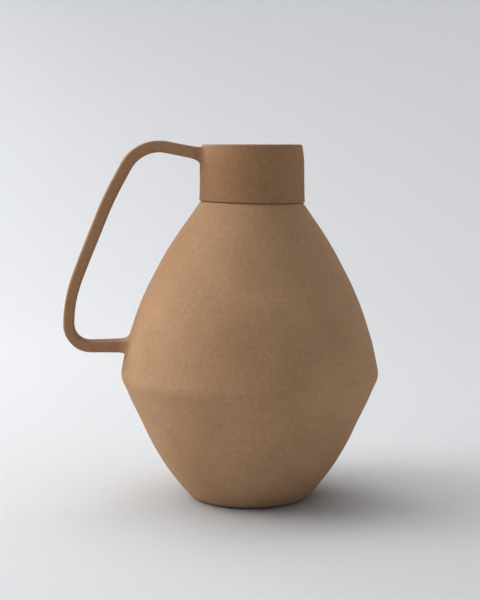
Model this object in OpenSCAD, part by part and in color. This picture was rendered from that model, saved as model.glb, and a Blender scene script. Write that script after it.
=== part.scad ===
// Stoneware pitcher: a double-cone belly with a crisp ridge, a short straight collar above a
// groove, and a tall angular strap handle. Joined from thrown and pulled pieces of clay.
// Origin: centre of the foot, on the surface that the pitcher stands on. +Z is up, and the
// handle lies in the XZ plane on the -X side.

/* [Belly] */
// Radius of the belly at its ridge
ridge_r = 98.8; // [85:0.1:120]
// Height of the ridge above the foot
ridge_h = 93.9; // [80:0.1:110]
// Height of the upper wall's top edge
shoulder_h = 225; // [185:0.5:270]
// How far the upper wall bows out from a straight line between its edges
upper_bow = 9.1; // [4:0.1:14]
// Radius at which the belly's outline would meet the ground without its bevel
foot_r = 45; // [37:0.5:54]
// Lean of the straight lower flank, in degrees from upright
flank_lean = 25; // [20:0.5:28]
// Height at which the straight flank starts to curve in towards the foot
flank_bend_h = 48; // [40:0.5:58]
// How far the flat foot's edge stands in from there
foot_bevel = 3; // [1:0.5:4]
// Height of the bevel round the foot
foot_bevel_h = 4.5; // [2:0.5:6]
// Thickness of the belly's wall
wall = 5; // [4:0.1:6]
// Thickness of the floor
floor_t = 7; // [5:0.1:9]

/* [Neck] */
// Outer radius of the collar
collar_r = 39.5; // [32:0.1:48]
// Thickness of the collar's wall below its soft rim
collar_wall = 5.1; // [4.2:0.1:6.2]
// Height of the rim above the upper wall's top edge
neck_h = 43.4; // [36:0.1:52]
// Height of the groove under the collar
groove_h = 0.9; // [0.7:0.1:2]
// Depth of the groove, measured from the collar's outside
groove_depth = 1.8; // [1.5:0.1:2.1]
// How far the upper wall's top edge stands back from the collar's outside
shoulder_step = 0.9; // [0.6:0.1:1.4]
// How far the collar leans in at its rim
rim_lean = 1.8; // [1:0.1:2]
// Height over which the collar leans in
rim_soft_h = 20; // [12:0.5:25]

/* [Handle] */
// Thickness of the strap
strap_t = 8.6; // [7:0.1:10.5]
// Width of the strap
strap_w = 19; // [16:0.5:23]
// Radius of the strap's long edges
strap_edge_r = 2.6; // [1.5:0.1:3.2]
// Drop from the rim to the middle of the strap where it leaves the collar
root_drop = 7; // [6.8:0.1:9]
// Climb of the strap's upper run, in degrees
root_climb = 12; // [6:0.5:15]
// Distance from the collar to the strap's upper corner
top_run = 45; // [38:0.5:56]
// Distance from the ridge out to the middle of the strap's outermost run
reach = 38.8; // [32:0.2:47]
// Height of the strap's lower run above the ridge
low_run_rise = 24; // [20:0.5:30]
// Height of the strap's knee above its lower run
knee_rise = 41; // [36:0.5:48]
// Bend radius at the upper corner
top_bend_r = 27.5; // [24:0.5:34]
// Bend radius at the knee, where the strap turns upright
knee_bend_r = 100; // [60:1:100]
// Bend radius at the lower corner
low_bend_r = 16.5; // [12:0.5:18]

/* [Joints] */
// Thickness of the slip between joined pieces
slip_t = 0.6; // [0.4:0.1:1]
// Height of the lap inside the ridge joint
ridge_lap_h = 6; // [4:0.5:8]
// Height of the lap inside the neck joint
neck_lap_h = 4; // [3:0.5:6]
// Joining clay's reach along the wall on the hand's side of the strap
hand_side_fillet = 4.5; // [3:0.1:5]
// Joining clay's reach along the wall on the other sides of the strap
outer_side_fillet = 1.5; // [1:0.1:2]
// Thickness at which the joining clay feathers out
feather_t = 0.3; // [0.2:0.05:0.5]

/* [Glaze] */
// Thickness of the glaze coat inside
glaze_t = 0.4; // [0.3:0.1:0.6]
// Distance from the rim down to the glaze coat's edge
glaze_stop = 3; // [2.5:0.5:6]

/* [Hidden] */
$fn = 180;

clay = [0.62, 0.49, 0.38];
clay_pale = [0.66, 0.53, 0.41];
slip = [0.55, 0.43, 0.33];
glaze = [0.36, 0.25, 0.17];

arc_steps = 24;   // straight steps in each long arc of the profile
edge_steps = 5;   // straight steps round each small corner
fillet_steps = 6; // rings of points along each handle fillet
top_steps = 14;   // rings of points round the strap's upper corner
knee_steps = 8;   // rings of points round the knee
low_steps = 12;   // rings of points round the lower corner
over = 1;         // overshoot of a cutting shape past what it cuts
bite = 4;         // how far the strap's untrimmed ends reach into the wall
least_run = 0.4;  // shortest straight run between two bends

// Upper wall: one arc from the ridge to the shoulder
shoulder_r = collar_r - shoulder_step;
upper_rise = shoulder_h - ridge_h;
upper_fall = ridge_r - shoulder_r;
upper_chord = norm([upper_fall, upper_rise]);
upper_out = [upper_rise, upper_fall] / upper_chord;
upper_arc_r = (upper_chord * upper_chord / 4 + upper_bow * upper_bow) / (2 * upper_bow);
upper_c = [(ridge_r + shoulder_r) / 2, (ridge_h + shoulder_h) / 2]
    - upper_out * (upper_arc_r - upper_bow);

// Lower flank: straight down to the bend, then an arc that ends at the foot's corner
flank_out = [cos(flank_lean), -sin(flank_lean)];
bend = [ridge_r - (ridge_h - flank_bend_h) * tan(flank_lean), flank_bend_h];
to_foot = [foot_r, 0] - bend;
lower_arc_r = -(to_foot * to_foot) / (2 * (to_foot * flank_out));
lower_c = bend - flank_out * lower_arc_r;

// Neck
bore_r = collar_r - collar_wall;
rim_h = shoulder_h + neck_h;
rim_arc_r = (rim_soft_h * rim_soft_h + rim_lean * rim_lean) / (2 * rim_lean);
lip_h = (collar_wall - rim_lean) / 2;
lip_r = (collar_wall - rim_arc_r + sqrt(rim_arc_r * rim_arc_r - pow(rim_soft_h - lip_h, 2))) / 2;
lip_c = [bore_r + lip_r, rim_h - lip_r];

// Middle of the wall at each lap joint
ridge_lap_r = (ridge_r + corner(wall)[0]) / 2 - slip_t / 2;
neck_lap_r = (collar_r - groove_depth + bore_r) / 2 - slip_t / 2;

// The strap's route in its own plane: [distance from the vessel's axis, height]
root = [collar_r, rim_h - root_drop];
top_corner = root + top_run * [1, tan(root_climb)];
low_corner = [ridge_r + reach, ridge_h + low_run_rise];
knee = low_corner + [0, knee_rise];
low_end = [upper_r(low_corner[1]), low_corner[1]];

// Bends, each limited to the straight length that its neighbours leave
top_turn = root_climb - heading(top_corner, knee);
knee_turn = heading(top_corner, knee) + 90;
low_turn = 90;
knee_room = knee_rise - low_bend_r - least_run;
knee_r = min(knee_bend_r, knee_room / tan(knee_turn / 2));
top_room = min(
    norm(top_corner - root) - 2 * hand_side_fillet,
    norm(knee - top_corner) - setback(knee_turn, knee_r) - least_run
);
top_r = min(top_bend_r, top_room / tan(top_turn / 2));

// Points of an arc about c, from angle a to angle b
function arc(c, r, a, b, steps) =
    [for (i = [0:steps]) c + r * [cos(a + (b - a) * i / steps), sin(a + (b - a) * i / steps)]];

// Direction in degrees from point p to point q
function heading(p, q) = atan2(q[1] - p[1], q[0] - p[0]);

// Radius of the upper wall's outside at height z
function upper_r(z) = upper_c[0] + sqrt(upper_arc_r * upper_arc_r - pow(z - upper_c[1], 2));

// Where the flank meets the upper arc, both pulled in by inset
function corner(inset) =
    let (
        start = bend - flank_out * inset,
        up = [-flank_out[1], flank_out[0]],
        away = start - upper_c,
        b = away * up,
        c = away * away - pow(upper_arc_r - inset, 2)
    )
    start + up * (sqrt(b * b - c) - b);

// The foot's arc, pulled in by inset, from height z up to the straight flank
function foot_arc(inset, z) =
    let (r = lower_arc_r - inset)
    arc(lower_c, r, asin((z - lower_c[1]) / r), -flank_lean, arc_steps);

// The upper wall's arc, pulled in by inset, from the ridge to radius r
function upper_arc(inset, r) =
    let (c = corner(inset) - upper_c, arc_r = upper_arc_r - inset)
    arc(upper_c, arc_r, atan2(c[1], c[0]), acos((r - upper_c[0]) / arc_r), arc_steps);

// Outside of the belly from the axis to the top edge, pushed out by grow
function belly_outside(grow) =
    concat(
        [[0, 0], [foot_r - foot_bevel + grow, 0]], foot_arc(-grow, foot_bevel_h),
        upper_arc(-grow, shoulder_r + grow * upper_out[0])
    );

// Inside of the belly and neck from the axis up to height z, pulled in by coat
function inside(coat, z) =
    concat(
        [[0, floor_t + coat]], foot_arc(wall + coat, floor_t + coat),
        upper_arc(wall + coat, bore_r - coat), [[bore_r - coat, z]]
    );

// Outside of the collar from the groove up to the top of its lip, pushed out by grow
function collar_outside(grow) =
    concat(
        [[collar_r + grow, shoulder_h + groove_h]],
        arc(
            [collar_r - rim_arc_r, rim_h - rim_soft_h], rim_arc_r + grow,
            0, asin((rim_soft_h - 2 * lip_r) / rim_arc_r), arc_steps / 2
        ),
        arc(lip_c, lip_r + grow, 0, 90, 2 * edge_steps)
    );

// The strap's section with its edges rounded, pushed out by three amounts:
// inner towards the hand, outer away from it, and side on both flanks
function strap_section(inner, outer, side) =
    let (r = strap_edge_r, x = strap_t / 2 - r, y = strap_w / 2 - r + side)
    concat(
        arc([x + outer, y], r, 0, 90, edge_steps), arc([-x - inner, y], r, 90, 180, edge_steps),
        arc([-x - inner, -y], r, 180, 270, edge_steps), arc([x + outer, -y], r, 270, 360, edge_steps)
    );

// Unit vector with a heading in degrees
function along(a) = [cos(a), sin(a)];

// Distance from a corner to where its bend begins
function setback(turn, r) = r * tan(turn / 2);

// Ring of points round the strap at p, where the strap's heading is a
function strap_ring(p, a) = [
    for (s = strap_section(0, 0, 0)) [p[0] + s[0] * cos(a + 90), p[1] + s[0] * sin(a + 90), s[1]],
];

// Rings of a clockwise bend at a corner that the strap meets with the heading start
function bend_rings(corner, start, turn, r, steps) =
    let (centre = corner - setback(turn, r) * along(start) - r * along(start + 90))
    [for (i = [0:steps]) let (a = start - turn * i / steps) strap_ring(centre + r * along(a + 90), a)];

// Radius of the vessel's outside, without the rim's lean, at height z
function wall_r(z) = z > shoulder_h ? collar_r : upper_r(z);

// Ring of joining clay round the strap, at distance off from the vessel's round wall. The strap
// leaves the wall at end with the slope climb, and up is 1 where its outer side is its top.
function saddle_ring(end, climb, up, off, share) = [
    for (
        p = strap_section(
            feather_t + share * (hand_side_fillet - feather_t),
            feather_t + share * (outer_side_fillet - feather_t),
            feather_t + share * (outer_side_fillet - feather_t)
        )
    )
        let (
            rise = up * p[0],
            out = sqrt(pow(wall_r(end[1] + rise), 2) - p[1] * p[1]) + off,
            t = (out - end[0] + rise * sin(climb)) / cos(climb)
        )
        [out, end[1] + t * sin(climb) + rise * cos(climb), up * p[1]],
];

// Middle of a ring of points
function centre_of(ring) = [for (i = [0:2]) ring_sum([for (p = ring) p[i]]) / len(ring)];
function ring_sum(list) = list * [for (x = list) 1];
function reverse(list) = [for (i = [len(list) - 1:-1:0]) list[i]];

// Everything below a stepped joint: height z outside step_r, and z + lap inside it
module below_step(z, step_r, lap) {
    far = ridge_r + over;
    polygon([[0, -over], [far, -over], [far, z], [step_r, z], [step_r, z + lap], [0, z + lap]]);
}

// Section through the belly's wall and floor
module belly_section() {
    difference() {
        polygon(concat(belly_outside(0), [[0, shoulder_h]]));
        polygon(concat(inside(0, shoulder_h + over), [[0, shoulder_h + over]]));
    }
}

module below_ridge_joint(up) {
    below_step(ridge_h - slip_t / 2 + up, ridge_lap_r + up, ridge_lap_h);
}

module below_neck_joint(up, out) {
    below_step(shoulder_h + up, neck_lap_r + out, neck_lap_h);
}

module lower_bowl() {
    color(clay) rotate_extrude()
        intersection() {
            belly_section();
            below_ridge_joint(0);
        }
}

module ridge_slip_seam() {
    color(slip) rotate_extrude()
        intersection() {
            belly_section();
            difference() {
                below_ridge_joint(slip_t);
                below_ridge_joint(0);
            }
        }
}

module upper_wall() {
    color(clay_pale) rotate_extrude() {
        difference() {
            belly_section();
            below_ridge_joint(slip_t);
        }
        translate([bore_r, shoulder_h]) square([neck_lap_r - bore_r, neck_lap_h]);
    }
}

module neck_slip_seam() {
    color(slip) rotate_extrude()
        intersection() {
            translate([bore_r, shoulder_h])
                square([collar_wall - groove_depth, neck_h]);
            difference() {
                below_neck_joint(groove_h, slip_t);
                below_neck_joint(0, 0);
            }
        }
}

module neck_collar() {
    color(clay) rotate_extrude()
        difference() {
            polygon(concat(
                [[bore_r, shoulder_h + groove_h]], collar_outside(0),
                arc(lip_c, lip_r, 90 + 90 / (2 * edge_steps), 180, 2 * edge_steps - 1)
            ));
            below_neck_joint(groove_h, slip_t);
        }
}

// The whole vessel as a solid, pushed out by grow
module vessel(grow) {
    rotate_extrude() {
        polygon(concat(belly_outside(grow), [[0, shoulder_h + grow]]));
        polygon(concat(collar_outside(grow), [[0, rim_h + grow], [0, shoulder_h + groove_h]]));
    }
}

// Turns the strap's own plane upright, on the -X side of the vessel
module in_handle_plane() {
    rotate([90, 0, 180]) children();
}

// Closed skin through rings of points, with a fan of triangles on each end
module skin(rings) {
    n = len(rings[0]);
    last = len(rings) - 1;
    points = [for (ring = rings) each ring];
    first_c = len(points);
    polyhedron(
        concat(points, [centre_of(rings[0]), centre_of(rings[last])]),
        concat(
            [for (k = [0:last - 1], j = [0:n - 1]) each [
                [k * n + j, (k + 1) * n + j, k * n + (j + 1) % n],
                [k * n + (j + 1) % n, (k + 1) * n + j, (k + 1) * n + (j + 1) % n],
            ]],
            [for (j = [0:n - 1]) [first_c, j, (j + 1) % n]],
            [for (j = [0:n - 1]) [first_c + 1, last * n + (j + 1) % n, last * n + j]]
        )
    );
}

module handle() {
    color(clay) difference() {
        in_handle_plane() skin(concat(
            [strap_ring(root - bite * along(root_climb), root_climb)],
            bend_rings(top_corner, root_climb, top_turn, top_r, top_steps),
            bend_rings(knee, heading(top_corner, knee), knee_turn, knee_r, knee_steps),
            bend_rings(low_corner, -90, low_turn, low_bend_r, low_steps),
            [strap_ring(low_end - [bite, 0], -180)]
        ));
        vessel(slip_t);
    }
}

// Joining clay at one end of the strap: the bed of slip under its end and the fillet round it
module root_joint(end, climb, up) {
    color(slip) difference() {
        in_handle_plane() skin([
            saddle_ring(end, climb, up, -bite, 1),
            for (i = [0:fillet_steps]) saddle_ring(
                end, climb, up, slip_t + hand_side_fillet * i / fillet_steps,
                1 - sqrt(1 - pow(1 - i / fillet_steps, 2))
            ),
        ]);
        vessel(0);
        handle();
    }
}

module handle_upper_joint() {
    root_joint(root, root_climb, 1);
}

module handle_lower_joint() {
    root_joint(low_end, 0, -1);
}

module glaze_lining() {
    color(glaze) rotate_extrude()
        polygon(concat(
            inside(0, rim_h - glaze_stop),
            reverse(inside(glaze_t, rim_h - glaze_stop))
        ));
}

lower_bowl();
ridge_slip_seam();
upper_wall();
neck_slip_seam();
neck_collar();
handle();
handle_upper_joint();
handle_lower_joint();
glaze_lining();
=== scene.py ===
"""Stoneware pitcher: finished pieces, materials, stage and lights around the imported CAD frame."""
import math

import bpy
import numpy as np
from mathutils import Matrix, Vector


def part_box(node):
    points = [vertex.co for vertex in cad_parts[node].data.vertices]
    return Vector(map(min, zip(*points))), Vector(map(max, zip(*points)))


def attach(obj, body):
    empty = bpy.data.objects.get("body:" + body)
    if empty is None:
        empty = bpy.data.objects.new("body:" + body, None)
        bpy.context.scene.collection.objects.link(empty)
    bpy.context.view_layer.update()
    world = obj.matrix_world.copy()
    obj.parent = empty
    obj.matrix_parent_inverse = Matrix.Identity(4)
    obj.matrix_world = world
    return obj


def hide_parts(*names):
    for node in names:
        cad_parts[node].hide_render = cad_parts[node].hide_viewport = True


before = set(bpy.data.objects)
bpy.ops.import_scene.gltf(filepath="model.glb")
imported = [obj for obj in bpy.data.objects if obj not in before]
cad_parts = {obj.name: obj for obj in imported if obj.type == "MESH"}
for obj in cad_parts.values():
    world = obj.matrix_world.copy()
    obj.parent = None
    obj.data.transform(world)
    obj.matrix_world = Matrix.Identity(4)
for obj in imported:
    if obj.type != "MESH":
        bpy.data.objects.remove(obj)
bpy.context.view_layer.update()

MM = 0.001
DEG = math.pi / 180

# ---------------------------------------------------------------- sizes, from the frame
SEAM_LO, SEAM_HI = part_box("ridge_slip_seam")
COLLAR_LO, COLLAR_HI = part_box("neck_collar")
WALL_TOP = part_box("upper_wall")[1].z
LINING_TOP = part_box("glaze_lining")[1].z
STRAP_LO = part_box("handle")[0]

SLIP_T = 0.6 * MM
RIDGE_R = SEAM_HI.x
RIDGE_H = SEAM_LO.z + SLIP_T / 2
RIDGE_LAP_H = SEAM_HI.z - SEAM_LO.z - SLIP_T
COLLAR_R = COLLAR_HI.x
COLLAR_BOTTOM = COLLAR_LO.z
RIM_H = COLLAR_HI.z
GROOVE_H = 0.9 * MM
SHOULDER_H = COLLAR_BOTTOM - GROOVE_H
NECK_LAP_H = WALL_TOP - SHOULDER_H

# Shape values that the frame's boxes don't give
UPPER_BOW = 9.1 * MM
FOOT_R = 45 * MM
FLANK_LEAN = 25 * DEG
FLANK_BEND_H = 48 * MM
FOOT_BEVEL = 3 * MM
FOOT_BEVEL_H = 4.5 * MM
BEVEL_PULL = (1.2 * MM, 0.7 * MM)   # out from the foot's radius and up: where the bevel's curve is drawn to
WALL = 5 * MM
FLOOR_T = 7 * MM
COLLAR_WALL = 5.1 * MM
GROOVE_DEPTH = 1.8 * MM
RIDGE_SOFT = 4.8 * MM      # from the corner to where its rounding starts
SHOULDER_R = COLLAR_R - 0.9 * MM
BORE_R = COLLAR_R - COLLAR_WALL
RIM_LEAN = 1.8 * MM
RIM_SOFT_H = 20 * MM
LIP_SPAN_H = 1.7 * MM      # below the rim, where the lip's width is taken
BROW_RISE = 0.3 * MM       # how far the shoulder's edge stands above its lap
GLAZE_T = 0.4 * MM
STRAP_T = 8.6 * MM
STRAP_W = 19 * MM
STRAP_EDGE_R = 1.8 * MM

TURNS = 288                # points round every thrown piece
STEP = 1.0 * MM            # spacing of its rings on the outside
FINE = 0.25 * MM           # near the ridge
COARSE = 3.0 * MM          # and on hidden faces
FINE_SPAN = 2 * MM         # how far the fine rings run from the ridge


# ---------------------------------------------------------------- thrown profile
def unit(v):
    return v / np.linalg.norm(v)


def arc_points(centre, r, a, b, n):
    t = np.linspace(a, b, n)
    return np.column_stack([centre[0] + r * np.cos(t), centre[1] + r * np.sin(t)])


def soften(points, corner, reach, n=9):
    """Replaces the corner of a polyline by a smooth bend that starts and ends at reach from it."""
    d = np.linalg.norm(points - corner, axis=1)
    i = int(np.argmin(d))
    before = points[:i][d[:i] > reach]
    after = points[i + 1:][d[i + 1:] > reach]
    a = corner + unit(before[-1] - corner) * reach
    b = corner + unit(after[0] - corner) * reach
    t = np.linspace(0, 1, n)[:, None]
    bend = (1 - t) ** 2 * a + 2 * t * (1 - t) * corner + t ** 2 * b
    return np.vstack([before, bend, after])


class Wall:
    """Profile of the belly, pulled in by inset: radius as a function of height."""

    def __init__(self, inset):
        ridge = np.array([RIDGE_R, RIDGE_H])
        shoulder = np.array([SHOULDER_R, SHOULDER_H])
        chord = shoulder - ridge
        length = np.linalg.norm(chord)
        out = np.array([chord[1], -chord[0]]) / length
        r = (length ** 2 / 4 + UPPER_BOW ** 2) / (2 * UPPER_BOW)
        self.upper_c = (ridge + shoulder) / 2 - out * (r - UPPER_BOW)
        self.upper_r = r - inset
        self.flank_out = np.array([math.cos(FLANK_LEAN), -math.sin(FLANK_LEAN)])
        bend = np.array([RIDGE_R - (RIDGE_H - FLANK_BEND_H) * math.tan(FLANK_LEAN), FLANK_BEND_H])
        to_foot = np.array([FOOT_R, 0]) - bend
        lower_r = -(to_foot @ to_foot) / (2 * (to_foot @ self.flank_out))
        lower_c = bend - self.flank_out * lower_r
        self.start = bend - self.flank_out * inset
        low = arc_points(lower_c, lower_r - inset, -60 * DEG, -FLANK_LEAN, 120)
        corner = self.corner()
        flank = np.linspace(self.start, corner, 60)[1:]
        a = math.atan2(*(corner - self.upper_c)[::-1])
        top = arc_points(self.upper_c, self.upper_r, a, a + 40 * DEG, 160)[1:]
        line = np.vstack([low, flank, top])
        self.line = soften(line, corner, RIDGE_SOFT)

    def corner(self):
        up = np.array([-self.flank_out[1], self.flank_out[0]])
        away = self.start - self.upper_c
        b = away @ up
        c = away @ away - self.upper_r ** 2
        return self.start + up * (math.sqrt(b * b - c) - b)

    def r(self, z):
        return np.interp(z, self.line[:, 1], self.line[:, 0])

    def height_at(self, r):
        """Height at which the upper wall narrows to radius r."""
        return self.upper_c[1] + math.sqrt(self.upper_r ** 2 - (r - self.upper_c[0]) ** 2)


OUTSIDE = Wall(0)
INSIDE = Wall(WALL)
COAT = Wall(WALL + GLAZE_T)
RIM_ARC_R = (RIM_SOFT_H ** 2 + RIM_LEAN ** 2) / (2 * RIM_LEAN)


def collar_r(z):
    """Outside radius of the collar below its lip."""
    rise = np.clip(np.asarray(z) - (RIM_H - RIM_SOFT_H), 0, None)
    return COLLAR_R - RIM_ARC_R + np.sqrt(RIM_ARC_R ** 2 - rise ** 2)


LIP_R = (collar_r(RIM_H - LIP_SPAN_H) - BORE_R) / 2
LIP_C = np.array([BORE_R + LIP_R, RIM_H - LIP_R])


def vessel_r(z):
    """Outside radius of the whole vessel at height z, lip included."""
    z = np.asarray(z, float)
    lip = LIP_C[0] + np.sqrt(np.clip(LIP_R ** 2 - np.clip(z - LIP_C[1], 0, None) ** 2, 0, None))
    neck = np.where(z > LIP_C[1], lip, collar_r(z))
    return np.where(z > SHOULDER_H + GROOVE_H / 2, neck, OUTSIDE.r(z))


def heights(a, b, step):
    return np.linspace(a, b, max(2, int(round(abs(b - a) / step)) + 1))


def curve(radius, a, b, step):
    z = heights(a, b, step)
    return np.column_stack([radius(z), z])


# ---------------------------------------------------------------- hand-made shape
class Drift:
    """Small distance as a smooth function of height, through (height, distance) stops in mm."""

    def __init__(self, blend, stops):
        z, value = np.array(stops).T * MM
        step, reach = 0.5, 30
        self.z = np.arange(-0.02, 0.3, step * MM)
        spread = np.exp(-0.5 * (np.arange(-reach, reach + 1) * step / blend) ** 2)
        raw = np.interp(self.z, z, value)
        self.value = np.convolve(np.pad(raw, reach, "edge"), spread / spread.sum(), "valid")

    def __call__(self, z):
        return np.interp(z, self.z, self.value)


# Where the vessel's middle strays along X, and how its outside departs from the true arcs
SWAY = Drift(4, [(0, -0.3), (20, -0.4), (92, -0.4), (150, -0.25), (192, 0.2), (207, 0.9), (224, 1.4),
                 (270, 1.3)])
SWELL = Drift(3, [(0, -0.5), (10, -0.3), (22, -0.15), (40, 0), (76, 0), (84, -0.4), (91, -0.6), (96, -0.3),
                  (104, -0.15), (128, 0.1), (150, 0.2), (160, -0.05), (175, -0.3), (198, -0.4),
                  (214, -0.6), (220, -0.1), (225, 0.6), (230, 0), (270, 0)])


RING_CLIMB = 2.2           # mm that the throwing rings climb in a turn
RING_DEPTH = 0.05          # mm, of the broad rings
FINGER_DEPTH = 0.03        # mm, of the narrow ones


def wave(height, length, phase=0.0):
    return np.sin(height * 2 * math.pi / length + phase)


def throwing_rings(angle, z):
    """Height of the faint spiral rings that the potter's fingers leave, mostly just under the true outside."""
    turn = z / MM + RING_CLIMB * angle / (2 * math.pi)
    broad = wave(turn, 23, 0.7) * RING_DEPTH + wave(turn, 37) * RING_DEPTH
    narrow = wave(turn, 4.3) * wave(turn, 31, 1.1) * FINGER_DEPTH
    return (broad + narrow - 2 * RING_DEPTH) * MM


GROOVE_TILT = 1.25 * DEG
TILT_STOPS = [190, 224, 228, 262], [0, 1, 1, 0]    # heights in mm, and the tilt's share there
TILT_FADE = 30 * MM        # out from the collar, over which the tilt fades away
HOLD_REACH = 25 * MM       # out along the handle, over which the neck's sway fades away
AXIS_R = 1 * MM            # nearer to the axis than this, points keep their radius


def handmade(co, outer):
    """Carries points of the true shape to the hand-made one. outer is 1 on the thrown outside."""
    x, y, z = co.T
    r = np.hypot(x, y)
    angle = np.arctan2(y, x)
    grow = outer * (throwing_rings(angle, z) + SWELL(z))
    scale = np.where(r > AXIS_R, (r + grow) / np.maximum(r, AXIS_R), 1)
    near = np.clip((COLLAR_R + TILT_FADE - r) / TILT_FADE, 0, 1)
    tilt = np.interp(z / MM, *TILT_STOPS) * -math.tan(GROOVE_TILT) * near
    return np.column_stack([x * scale + SWAY(z) * hold(x, z), y * scale, z + tilt * x])


def hold(x, z):
    """1 on the vessel, fading to 0 along the handle, which stays true."""
    out = -x - vessel_r(z)
    return np.clip(1 - out / HOLD_REACH, 0, 1)


# ---------------------------------------------------------------- mesh building
def make_piece(name, co, faces, replaces, material, sharp=35):
    mesh = bpy.data.meshes.new(name)
    mesh.from_pydata(co.tolist(), [], faces)
    mesh.validate()
    mesh.shade_smooth()
    mesh.set_sharp_from_angle(angle=sharp * DEG)
    piece = bpy.data.objects.new(name, mesh)
    bpy.context.scene.collection.objects.link(piece)
    mesh.materials.append(material)
    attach(piece, "root")
    for node in replaces:
        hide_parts(node)
    return piece


def lathe(profile, outer, turns=TURNS):
    """Turns a closed profile of (radius, height) points. A point on the axis becomes one vertex."""
    profile = np.asarray(profile, float)
    outer = np.asarray(outer, float)
    angles = np.arange(turns) * 2 * math.pi / turns
    co, weight, rings = [], [], []
    count = 0
    for (r, z), w in zip(profile, outer):
        if r < 1e-7:
            co.append(np.array([[0, 0, z]]))
            weight.append([w])
            rings.append([count] * turns)
            count += 1
        else:
            co.append(np.column_stack([r * np.cos(angles), r * np.sin(angles), np.full(turns, z)]))
            weight.append(np.full(turns, w))
            rings.append(list(range(count, count + turns)))
            count += turns
    faces = []
    for k in range(len(rings)):
        a, b = rings[k], rings[(k + 1) % len(rings)]
        a_axis, b_axis = a[0] == a[1], b[0] == b[1]
        if a_axis and b_axis:
            continue
        for j in range(turns):
            i = (j + 1) % turns
            if a_axis:
                faces.append((a[0], b[i], b[j]))
            elif b_axis:
                faces.append((a[j], a[i], b[0]))
            else:
                faces.append((a[j], a[i], b[i], b[j]))
    return handmade(np.vstack(co), np.concatenate(weight)), faces


def profile_of(*runs):
    """Joins (points, outer) runs into one closed profile, dropping repeated points."""
    points, outer = [], []
    for run, w in runs:
        for p in np.asarray(run, float).reshape(-1, 2):
            if points and np.linalg.norm(p - points[-1]) < 1e-7:
                continue
            points.append(p)
            outer.append(w)
    return points, outer


# ---------------------------------------------------------------- materials
class Nodes:
    """Short way to add and link shader nodes."""

    def __init__(self, name):
        self.material = bpy.data.materials.new(name)
        self.material.use_nodes = True
        self.tree = self.material.node_tree
        self.shader = self.tree.nodes["Principled BSDF"]
        self.place = self.add("ShaderNodeTexCoord").outputs["Object"]

    def add(self, kind, **values):
        node = self.tree.nodes.new(kind)
        for key, value in values.items():
            setattr(node, key, value)
        return node

    def link(self, a, b):
        self.tree.links.new(a, b)

    def stretched(self, scale):
        node = self.add("ShaderNodeMapping")
        node.inputs["Scale"].default_value = scale
        self.link(self.place, node.inputs["Vector"])
        return node.outputs["Vector"]

    def noise(self, scale, detail=2.0, rough=0.5, place=None):
        node = self.add("ShaderNodeTexNoise")
        node.inputs["Scale"].default_value = scale
        node.inputs["Detail"].default_value = detail
        node.inputs["Roughness"].default_value = rough
        self.link(place or self.place, node.inputs["Vector"])
        return node.outputs["Fac"]

    def ranged(self, value, lo, hi, to_lo, to_hi):
        node = self.add("ShaderNodeMapRange", clamp=True)
        for key, number in zip(("From Min", "From Max", "To Min", "To Max"), (lo, hi, to_lo, to_hi)):
            node.inputs[key].default_value = number
        self.link(value, node.inputs["Value"])
        return node.outputs["Result"]

    def math(self, kind, a, b):
        node = self.add("ShaderNodeMath", operation=kind)
        for socket, value in zip(node.inputs, (a, b)):
            if isinstance(value, (int, float)):
                socket.default_value = value
            else:
                self.link(value, socket)
        return node.outputs[0]

    def mix(self, fac, a, b, blend="MIX"):
        node = self.add("ShaderNodeMix", data_type="RGBA", blend_type=blend)
        for socket, value in zip((node.inputs[0], node.inputs[6], node.inputs[7]), (fac, a, b)):
            if isinstance(value, (int, float)):
                socket.default_value = value
            elif isinstance(value, tuple):
                socket.default_value = (*value, 1)
            else:
                self.link(value, socket)
        return node.outputs[2]

    def specks(self, scale, size, share):
        """1 inside round specks, where only a share of the cells has one. size is in cells."""
        cells = self.add("ShaderNodeTexVoronoi")
        cells.inputs["Scale"].default_value = scale
        self.link(self.place, cells.inputs["Vector"])
        split = self.add("ShaderNodeSeparateColor")
        self.link(cells.outputs["Color"], split.inputs["Color"])
        chosen = self.math("LESS_THAN", split.outputs["Red"], share)
        near = self.ranged(cells.outputs["Distance"], size * 0.5, size, 1, 0)
        return self.math("MULTIPLY", near, chosen)

    def bump(self, height, strength, distance, normal=None):
        node = self.add("ShaderNodeBump")
        node.inputs["Strength"].default_value = strength
        node.inputs["Distance"].default_value = distance
        self.link(height, node.inputs["Height"])
        if normal is not None:
            self.link(normal, node.inputs["Normal"])
        return node.outputs["Normal"]


# Colours are linear. Noise scales and stretches are in cycles per metre
CLAY = (0.515, 0.356, 0.235)
CLAY_DARK = (0.45, 0.304, 0.196)
# Painted shade: factors that darken the collar's copy of the clay, standing in for the shade the lights don't
# give the neck
COLLAR_PAINTED_SHADE = (0.78, 0.735, 0.685)
# Painted shade: factors that darken the strap's copy of the clay, standing in for shade on the handle
STRAP_PAINTED_SHADE = (0.88, 0.85, 0.82)
SPECK_DARK = (0.12, 0.065, 0.035)
SPECK_PALE = (0.76, 0.60, 0.46)
GLAZED = (0.26, 0.145, 0.078)
GLAZED_DARK = (0.20, 0.105, 0.055)
MOTTLE_SCALE = 16
RING_STRETCH = (5, 5, 210)
GRAIN_SCALE = 1150
SAND_SCALE = 420
RINGS_SHOW = 0.35
GRAIN_SHOW = 0.20
SAND_SHOW = 0.17
DARK_SPECKS_SHOW = 0.55
PALE_SPECKS_SHOW = 0.30


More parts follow.
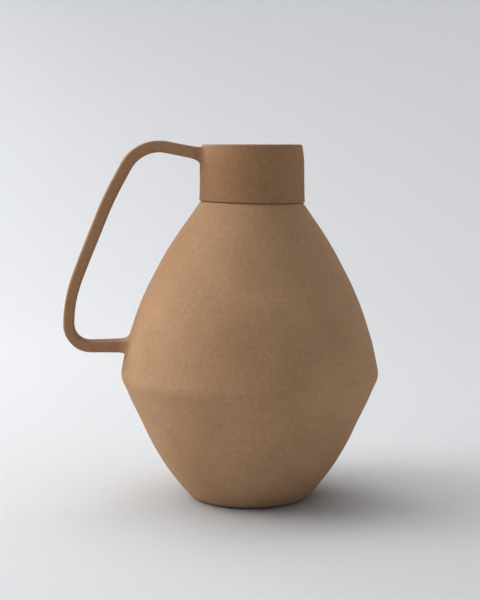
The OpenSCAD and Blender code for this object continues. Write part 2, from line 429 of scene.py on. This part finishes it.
def clay_colour(n, base, dark):
    """Sandy clay: broad mottling, faint rings, sand, fine grain and a few specks."""
    broad = n.ranged(n.noise(MOTTLE_SCALE, 3, 0.55), 0.35, 0.65, 0, 1)
    rings = n.ranged(n.noise(1.0, 3, 0.6, n.stretched(RING_STRETCH)), 0.3, 0.7, 0, 1)
    grain = n.ranged(n.noise(GRAIN_SCALE, 2.5, 0.7), 0.3, 0.7, 0, 1)
    sand = n.ranged(n.noise(SAND_SCALE, 2, 0.6), 0.32, 0.68, 0, 1)
    dark_specks = n.specks(scale=210, size=0.11, share=0.05)
    pale_specks = n.specks(scale=330, size=0.16, share=0.06)
    colour = n.mix(broad, base, dark)
    colour = n.mix(n.math("MULTIPLY", rings, RINGS_SHOW), colour, dark)
    colour = n.mix(GRAIN_SHOW, colour, n.mix(grain, SPECK_DARK, SPECK_PALE), "SOFT_LIGHT")
    colour = n.mix(SAND_SHOW, colour, n.mix(sand, SPECK_DARK, SPECK_PALE), "SOFT_LIGHT")
    colour = n.mix(n.math("MULTIPLY", dark_specks, DARK_SPECKS_SHOW), colour, SPECK_DARK)
    return n.mix(n.math("MULTIPLY", pale_specks, PALE_SPECKS_SHOW), colour, SPECK_PALE)


def clay_material(name, painted_shade=(1, 1, 1)):
    """Unglazed clay: dull, with fine sand and small pits in its surface. Its colours are multiplied by the
    second argument, which darkens a copy of the clay as painted shade.
    """
    n = Nodes(name)
    base, dark = (tuple(np.multiply(colour, painted_shade)) for colour in (CLAY, CLAY_DARK))
    n.link(clay_colour(n, base, dark), n.shader.inputs["Base Color"])
    n.shader.inputs["Specular IOR Level"].default_value = 0.25
    rough = n.ranged(n.noise(240, 2), 0.3, 0.7, 0.84, 0.96)
    n.link(rough, n.shader.inputs["Roughness"])
    sand = n.bump(n.noise(1300, 3, 0.65), strength=0.45, distance=0.12 * MM)
    pits = n.bump(n.specks(scale=420, size=0.2, share=0.12), strength=-0.5, distance=0.12 * MM, normal=sand)
    n.link(pits, n.shader.inputs["Normal"])
    return n.material


def glaze_material():
    """Clear glaze, with the clay showing darker through it."""
    n = Nodes("clear_glaze_over_clay")
    n.link(clay_colour(n, GLAZED, GLAZED_DARK), n.shader.inputs["Base Color"])
    n.shader.inputs["Roughness"].default_value = 0.35
    n.shader.inputs["Coat Weight"].default_value = 1.0
    n.shader.inputs["Coat Roughness"].default_value = 0.06
    n.link(n.bump(n.noise(60, 2), strength=0.25, distance=0.4 * MM), n.shader.inputs["Normal"])
    return n.material


clay = clay_material("sandy_stoneware")
# Copy of the clay darkened as painted shade, on the collar and the handle's upper root
collar_clay_painted_shade = clay_material("sandy_stoneware_collar_painted_shade", COLLAR_PAINTED_SHADE)
# Copy of the clay darkened as painted shade, on the handle's strap
strap_clay_painted_shade = clay_material("sandy_stoneware_strap_painted_shade", STRAP_PAINTED_SHADE)
glaze = glaze_material()


# ---------------------------------------------------------------- thrown pieces
RIDGE_LAP_R = (RIDGE_R + INSIDE.corner()[0]) / 2 - SLIP_T / 2
NECK_LAP_R = (COLLAR_R - GROOVE_DEPTH + BORE_R) / 2 - SLIP_T / 2
SEAM_BOTTOM = RIDGE_H - SLIP_T / 2
SEAM_TOP = RIDGE_H + SLIP_T / 2
BORE_H = INSIDE.height_at(BORE_R)


def foot_edge():
    """Underside's outer ring and the rounded bevel round it, up to the flank."""
    bottom = np.array([FOOT_R - FOOT_BEVEL, 0])
    top = np.array([OUTSIDE.r(FOOT_BEVEL_H), FOOT_BEVEL_H])
    pull = np.array([FOOT_R + BEVEL_PULL[0], BEVEL_PULL[1]])
    t = np.linspace(0, 1, 9)[:, None]
    bevel = (1 - t) ** 2 * bottom + 2 * t * (1 - t) * pull + t ** 2 * top
    return np.vstack([[30 * MM, 0], bevel])


def lower_bowl():
    lap_top = SEAM_BOTTOM + RIDGE_LAP_H
    flank = curve(OUTSIDE.r, FOOT_BEVEL_H, SEAM_BOTTOM, STEP)
    outside = np.vstack([foot_edge()[:-1],
                         flank[flank[:, 1] < SEAM_BOTTOM - FINE_SPAN],
                         curve(OUTSIDE.r, SEAM_BOTTOM - FINE_SPAN, SEAM_BOTTOM, FINE)])
    points, outer = profile_of(
        ([[0, 0]], 0), (outside, 1),
        ([[RIDGE_LAP_R, SEAM_BOTTOM], [RIDGE_LAP_R, lap_top]], 0),
        (curve(INSIDE.r, lap_top, FLOOR_T, COARSE), 0), ([[0, FLOOR_T]], 0),
    )
    co, faces = lathe(points, outer)
    return make_piece("thrown_bowl", co, faces, ["lower_bowl"], clay)


def ridge_seam():
    lap_top = SEAM_BOTTOM + RIDGE_LAP_H
    points, outer = profile_of(
        (curve(OUTSIDE.r, SEAM_BOTTOM, SEAM_TOP, 0.15 * MM), 1),
        ([[RIDGE_LAP_R + SLIP_T, SEAM_TOP], [RIDGE_LAP_R + SLIP_T, lap_top + SLIP_T]], 0),
        ([[INSIDE.r(lap_top + SLIP_T), lap_top + SLIP_T], [INSIDE.r(lap_top), lap_top]], 0),
        ([[RIDGE_LAP_R, lap_top], [RIDGE_LAP_R, SEAM_BOTTOM]], 0),
    )
    co, faces = lathe(points, outer)
    return make_piece("ridge_seam", co, faces, ["ridge_slip_seam"], clay)


def upper_wall():
    lap_top = SEAM_TOP + RIDGE_LAP_H
    edge = 0.2 * MM
    outside = np.vstack([curve(OUTSIDE.r, SEAM_TOP, SEAM_TOP + FINE_SPAN, FINE),
                         curve(OUTSIDE.r, SEAM_TOP + FINE_SPAN, SHOULDER_H - edge, STEP)])
    brow_edge = np.array([SHOULDER_R, SHOULDER_H + BROW_RISE])
    brow = soften(np.array([outside[-1], brow_edge, brow_edge - [1.2 * MM, 0]]), brow_edge, edge * 0.9, 5)
    points, outer = profile_of(
        (outside, 1), (brow, 1), ([brow_edge - [1.6 * MM, BROW_RISE]], 0),
        ([[NECK_LAP_R, SHOULDER_H], [NECK_LAP_R, SHOULDER_H + NECK_LAP_H]], 0),
        ([[BORE_R, SHOULDER_H + NECK_LAP_H]], 0),
        (curve(INSIDE.r, BORE_H, lap_top, COARSE), 0),
        ([[RIDGE_LAP_R + SLIP_T, lap_top], [RIDGE_LAP_R + SLIP_T, SEAM_TOP]], 0),
    )
    co, faces = lathe(points, outer)
    return make_piece("upper_wall_thrown", co, faces, ["upper_wall"], clay)


def neck_seam():
    top = SHOULDER_H + NECK_LAP_H
    outer_r = COLLAR_R - GROOVE_DEPTH
    points, outer = profile_of(
        ([[outer_r, SHOULDER_H], [outer_r, COLLAR_BOTTOM]], 0),
        ([[NECK_LAP_R + SLIP_T, COLLAR_BOTTOM], [NECK_LAP_R + SLIP_T, top + GROOVE_H]], 0),
        ([[BORE_R, top + GROOVE_H], [BORE_R, top]], 0),
        ([[NECK_LAP_R, top], [NECK_LAP_R, SHOULDER_H]], 0),
    )
    co, faces = lathe(points, outer)
    return make_piece("neck_seam", co, faces, ["neck_slip_seam"], clay)


def neck_collar():
    lap_top = COLLAR_BOTTOM + NECK_LAP_H
    edge = soften(np.array([[NECK_LAP_R + SLIP_T, COLLAR_BOTTOM], [COLLAR_R, COLLAR_BOTTOM],
                            [COLLAR_R, COLLAR_BOTTOM + 3 * MM]]),
                  np.array([COLLAR_R, COLLAR_BOTTOM]), 0.3 * MM, 6)[:-1]
    points, outer = profile_of(
        (edge[:2], 0), (edge[2:], 1),
        (curve(collar_r, COLLAR_BOTTOM + STEP, LIP_C[1], STEP), 1),
        (arc_points(LIP_C, LIP_R, 0, math.pi, 17), 0.5),
        (curve(lambda z: np.full(len(z), BORE_R), LIP_C[1], lap_top, COARSE), 0),
        ([[NECK_LAP_R + SLIP_T, lap_top]], 0),
    )
    co, faces = lathe(points, outer)
    return make_piece("collar", co, faces, ["neck_collar"], collar_clay_painted_shade)


def glaze_lining():
    stop = LINING_TOP
    inner_bore = BORE_R - GLAZE_T
    floor = FLOOR_T + GLAZE_T
    coat_bore_h = COAT.height_at(inner_bore)
    pool_r = 3 * MM        # where the glaze pools round the floor
    rounded = [[BORE_R - GLAZE_T * 0.35, stop - 0.05 * MM], [inner_bore + 0.06 * MM, stop - 0.5 * MM]]
    points, outer = profile_of(
        ([[0, FLOOR_T]], 0), (curve(INSIDE.r, FLOOR_T, BORE_H, COARSE), 0),
        ([[BORE_R, BORE_H], [BORE_R, stop]], 0), (rounded, 0),
        (curve(lambda z: np.full(len(z), inner_bore), stop - 1 * MM, coat_bore_h, COARSE), 0),
        (curve(COAT.r, coat_bore_h, floor + 2 * MM, COARSE), 0),
        (arc_points([COAT.r(floor) - 2 * pool_r, floor + pool_r], pool_r, -20 * DEG, -90 * DEG, 5), 0),
        ([[0, floor]], 0),
    )
    co, faces = lathe(points, outer, 192)
    return make_piece("glaze_coat", co, faces, ["glaze_lining"], glaze)


# ---------------------------------------------------------------- handle
# Distances from the vessel's axis and heights of the strap's corners, and the bend's radius at each
ROOT = np.array([COLLAR_R, RIM_H - 7 * MM])
CLIMB = 12 * DEG
LOW_CORNER = np.array([-STRAP_LO.x - STRAP_T / 2, STRAP_LO.z + STRAP_T / 2])
LOW_RUN_H = LOW_CORNER[1] - 0.3 * MM
LOW_END = np.array([OUTSIDE.r(LOW_RUN_H), LOW_RUN_H])
BENDS = (
    (ROOT + 29.5 * MM * np.array([1, math.tan(CLIMB)]), 28 * MM),
    (LOW_CORNER + np.array([-50.4, 145.3]) * MM, 28 * MM),
    (LOW_CORNER + np.array([-31.3, 110.8]) * MM, 250 * MM),
    (LOW_CORNER + np.array([-12.1, 64]) * MM, 150 * MM),
    (LOW_CORNER + np.array([-1.4, 36.2]) * MM, 100 * MM),
    (LOW_CORNER + np.array([0.2, -0.3]) * MM, 16.5 * MM),
)
BITE = 3 * MM              # how far the strap's ends reach into the walls
BEND_SAMPLES = 40
ROUTE_STEP = 1.2 * MM
SMOOTHINGS = 3
SECTION_POINTS = 48


def route():
    """Middle of the strap from inside the collar to inside the belly: lengths, positions, headings."""
    corners = [ROOT - BITE * unit(BENDS[0][0] - ROOT)] + [c for c, r in BENDS] + [LOW_END - [BITE, 0]]
    points = [corners[0]]
    for i, (corner, r) in enumerate(BENDS):
        into = unit(corner - corners[i])
        out = unit(corners[i + 2] - corner)
        turn = math.acos(into @ out)
        back = r * math.tan(turn / 2)
        right = np.array([into[1], -into[0]])
        centre = corner - back * into + r * right
        start = math.atan2(*(-right)[::-1])
        points.extend(arc_points(centre, r, start, start - turn, BEND_SAMPLES))
    points.append(corners[-1])
    points = np.array(points)
    s = np.concatenate([[0], np.cumsum(np.linalg.norm(np.diff(points, axis=0), axis=1))])
    even = np.linspace(0, s[-1], int(s[-1] / ROUTE_STEP))
    line = np.column_stack([np.interp(even, s, points[:, k]) for k in (0, 1)])
    for _ in range(SMOOTHINGS):
        line[1:-1] = (line[:-2] + 2 * line[1:-1] + line[2:]) / 4
    ahead = np.gradient(line, axis=0)
    return even, line, ahead / np.linalg.norm(ahead, axis=1)[:, None]


def strap_section(thick, wide, edge):
    """Rounded rectangle: offsets across the strap's thickness and along Y."""
    points = []
    x, y = thick / 2 - edge, wide / 2 - edge
    steps = SECTION_POINTS // 4
    for k, (cx, cy) in enumerate(((x, y), (-x, y), (-x, -y), (x, -y))):
        for a in np.linspace(k * 90, k * 90 + 90, steps):
            points.append([cx + edge * math.cos(a * DEG), cy + edge * math.sin(a * DEG)])
    return np.array(points)


def strap_shape(share):
    """Thickness, width and edge radius of the strap at a share of its length."""
    thick = np.interp(share, [0, 0.08, 0.5, 0.72, 0.78, 0.815, 0.85, 0.9, 1],
                      [9.2, 8.7, 8.7, 8.1, 8, 7.3, 7.6, 7.8, 8.5]) * MM
    wide = np.interp(share, [0, 0.15, 0.5, 0.8, 1], [20, 19, 18.6, 18.8, 20]) * MM
    return thick, wide, STRAP_EDGE_R


def in_handle_plane(u, v, w):
    """Distance from the axis, height and sideways offset to the row frame."""
    return np.column_stack([-np.asarray(u), np.asarray(w), np.asarray(v)])


def strap_handle():
    s, line, ahead = route()
    rings = []
    for k in range(len(line)):
        left = np.array([-ahead[k][1], ahead[k][0]])
        shape = strap_section(*strap_shape(s[k] / s[-1]))
        at = line[k] + shape[:, :1] * left
        rings.append(in_handle_plane(at[:, 0], at[:, 1], shape[:, 1]))
    co = np.vstack(rings)
    n = SECTION_POINTS
    faces = [(k * n + j, k * n + (j + 1) % n, (k + 1) * n + (j + 1) % n, (k + 1) * n + j)
             for k in range(len(rings) - 1) for j in range(n)]
    faces.append(tuple(range(n))[::-1])
    faces.append(tuple((len(rings) - 1) * n + j for j in range(n)))
    co = handmade(co, np.zeros(len(co)))
    return make_piece("strap", co, faces, ["handle"], strap_clay_painted_shade, sharp=60)


def wall_point(v, w, sink=0):
    """Point on the vessel's outside at height v and sideways offset w, sunk below the surface."""
    r = vessel_r(v) - sink
    return np.array([math.sqrt(max(r * r - w * w, 0)), v, w])


RIM_CLEAR = 0.3 * MM       # that the smeared clay stays below the rim
ROOT_SINK = 0.5 * MM       # of its thin edge under the wall's surface
ROOT_DEPTH = 1.2 * MM      # of its hidden back under the strap's corner


def root_fillet(name, node, end, climb, up, share, reaches, material):
    """Clay smeared round the strap's root. up is 1 where the strap's outer side is its top.

    reaches: how far in mm it runs along the wall and along the strap, on the hand's side, on the
    outer side and on the flanks. climb is the strap's slope there, and share its place along it.
    """
    n = SECTION_POINTS
    steps = 12
    shape = strap_section(*strap_shape(share))
    outward = np.array([math.cos(climb), math.sin(climb), 0])
    above = np.array([-outward[1], outward[0], 0])
    hand, outer_side, flank = (np.array(reach) * MM for reach in reaches)
    rings = [[] for _ in range(steps + 4)]
    for a, w in shape:
        n_a, n_w = a / (STRAP_T / 2), w / (STRAP_W / 2)
        steep = n_a ** 2 / (n_a ** 2 + n_w ** 2)
        on_wall, on_strap = (outer_side if a > 0 else hand) * steep + flank * (1 - steep)
        base = np.array([*end, 0]) + up * a * above
        corner = base + outward * (wall_point(base[1], up * w)[0] - base[0]) / outward[0]
        corner[2] = up * w
        away = unit(np.array([n_a * steep, n_w * (1 - steep)])) * up
        edge_v = min(corner[1] + away[0] * on_wall, RIM_H - RIM_CLEAR)
        edge_w = corner[2] + away[1] * on_wall
        strap_tip = corner + outward * on_strap
        tip = wall_point(edge_v, edge_w)
        for i, t in enumerate(np.linspace(0, 1, steps)):
            rings[i].append((1 - t) ** 2 * strap_tip + 2 * t * (1 - t) * corner + t * t * tip)
        inward = np.array([0, -away[0], -away[1]]) * MM
        rings[steps].append(wall_point(edge_v, edge_w, ROOT_SINK))
        rings[steps + 1].append(corner - np.array([ROOT_DEPTH, 0, 0]) + inward)
        rings[steps + 2].append(corner + inward)
        rings[steps + 3].append(strap_tip + inward * 0.5)
    co = np.vstack([in_handle_plane(*np.array(r).T) for r in rings])
    m = len(rings)
    faces = [(k * n + j, k * n + (j + 1) % n, (k + 1) % m * n + (j + 1) % n, (k + 1) % m * n + j)
             for k in range(m) for j in range(n)]
    co = handmade(co, np.zeros(len(co)))
    return make_piece(name, co, faces, [node], material, sharp=60)


lower_bowl()
ridge_seam()
upper_wall()
neck_seam()
neck_collar()
glaze_lining()
strap_handle()
root_fillet("upper_root", "handle_upper_joint", end=ROOT, climb=CLIMB, up=1, share=0,
            reaches=((8, 8), (2.6, 7), (4, 6)), material=collar_clay_painted_shade)
root_fillet("lower_root", "handle_lower_joint", end=LOW_END, climb=0, up=-1, share=1,
            reaches=((5, 6), (3.5, 3.5), (5, 7)), material=clay)


# ---------------------------------------------------------------- camera
AIM = -6 * DEG            # the camera stands a little round towards the handle's far side
PITCH = 6.56 * DEG        # and looks slightly down
DISTANCE = 1.0122         # from the pitcher's axis, level
HEIGHT = RIM_H - 1.1 * MM
ASIDE = -7.7 * MM         # a little to the left of it
SENSOR = 36               # mm
LENS = 80.4               # mm


def camera():
    data = bpy.data.cameras.new("camera")
    data.sensor_width = SENSOR
    data.lens = LENS
    data.clip_start = 0.05
    data.clip_end = 20
    obj = bpy.data.objects.new("camera", data)
    right = Vector((math.cos(AIM), math.sin(AIM), 0))
    forward = Vector((-math.sin(AIM), math.cos(AIM), 0))
    obj.location = right * ASIDE - forward * DISTANCE + Vector((0, 0, HEIGHT))
    obj.rotation_euler = (math.pi / 2 - PITCH, 0, AIM)
    bpy.context.scene.collection.objects.link(obj)
    bpy.context.scene.camera = obj


# ---------------------------------------------------------------- stage
PAPER = (0.515, 0.523, 0.535)
DAYLIGHT = (1.0, 0.995, 0.99)
OBJECT_MIDDLE = (0, 0, 0.13)


def cove():
    """Round seamless studio: a floor that curves up into a wall on every side."""
    wall_r, bend_r, top, turns = 2.4, 1.5, 3.2, 96
    flat_r = wall_r - bend_r
    line = [(0.2, 0), (0.5, 0), (flat_r, 0)]
    line += [(flat_r + bend_r * math.sin(a), bend_r - bend_r * math.cos(a))
             for a in np.linspace(0, math.pi / 2, 40)[1:]]
    line.append((wall_r, top))
    angles = np.arange(turns) * 2 * math.pi / turns
    verts = [(0, 0, 0)] + [(r * math.cos(a), r * math.sin(a), z) for r, z in line for a in angles]
    faces = [(0, 1 + j, 1 + (j + 1) % turns) for j in range(turns)]
    faces += [(1 + i * turns + j, 1 + (i + 1) * turns + j, 1 + (i + 1) * turns + (j + 1) % turns,
               1 + i * turns + (j + 1) % turns) for i in range(len(line) - 1) for j in range(turns)]
    mesh = bpy.data.meshes.new("cove")
    mesh.from_pydata(verts, [], faces)
    mesh.shade_smooth()
    obj = bpy.data.objects.new("cove", mesh)
    bpy.context.scene.collection.objects.link(obj)
    n = Nodes("pale_paper")
    n.shader.inputs["Base Color"].default_value = (*PAPER, 1)
    n.shader.inputs["Roughness"].default_value = 0.9
    n.shader.inputs["Specular IOR Level"].default_value = 0.2
    mesh.materials.append(n.material)
    return obj


def area_light(name, place, size, power, aim=OBJECT_MIDDLE, lit=None, linked="INCLUDE"):
    """Soft rectangular light. lit is an object that it lights alone, or with EXCLUDE not at all."""
    data = bpy.data.lights.new(name, "AREA")
    data.shape = "RECTANGLE"
    data.size, data.size_y = size
    data.energy = power
    data.color = DAYLIGHT
    obj = bpy.data.objects.new(name, data)
    obj.location = place
    obj.rotation_euler = (Vector(aim) - Vector(place)).to_track_quat("-Z", "Y").to_euler()
    bpy.context.scene.collection.objects.link(obj)
    if lit:
        receivers = bpy.data.collections.new(name + "_receivers")
        receivers.objects.link(lit)
        receivers.collection_objects[0].light_linking.link_state = linked
        obj.light_linking.receiver_collection = receivers


def lights(stage):
    """Window light from the left and behind, a little from the room, and the backdrop's own light."""
    area_light("window_high", place=(-1.3, 0, 1.2), size=(1.2, 1.2), power=18.2)
    area_light("window_far", place=(-2.0, 0.5, 1.0), size=(1.2, 1.6), power=14.2)
    area_light("window_back", place=(-1.1, 1.5, 1.1), size=(1.4, 1.2), power=16)
    area_light("ceiling_back", place=(0, 1.0, 1.9), size=(1.8, 1.2), power=10, aim=(0, 0.4, 0))
    area_light("ceiling", place=(0, 0, 1.8), size=(1.5, 1.5), power=2, lit=stage, linked="EXCLUDE")
    area_light("room_right", place=(1.6, 0.2, 0.8), size=(1.4, 1.2), power=3.8, lit=stage,
               linked="EXCLUDE")
    area_light("backdrop_fill", place=(0, 0, 3.6), size=(4.5, 4.5), power=88, lit=stage)
    world = bpy.data.worlds.new("room")
    world.use_nodes = True
    world.node_tree.nodes["Background"].inputs["Strength"].default_value = 0
    bpy.context.scene.world = world


camera()
lights(cove())

view = bpy.context.scene.view_settings
view.view_transform = "Standard"
view.gamma = 1 / 1.2
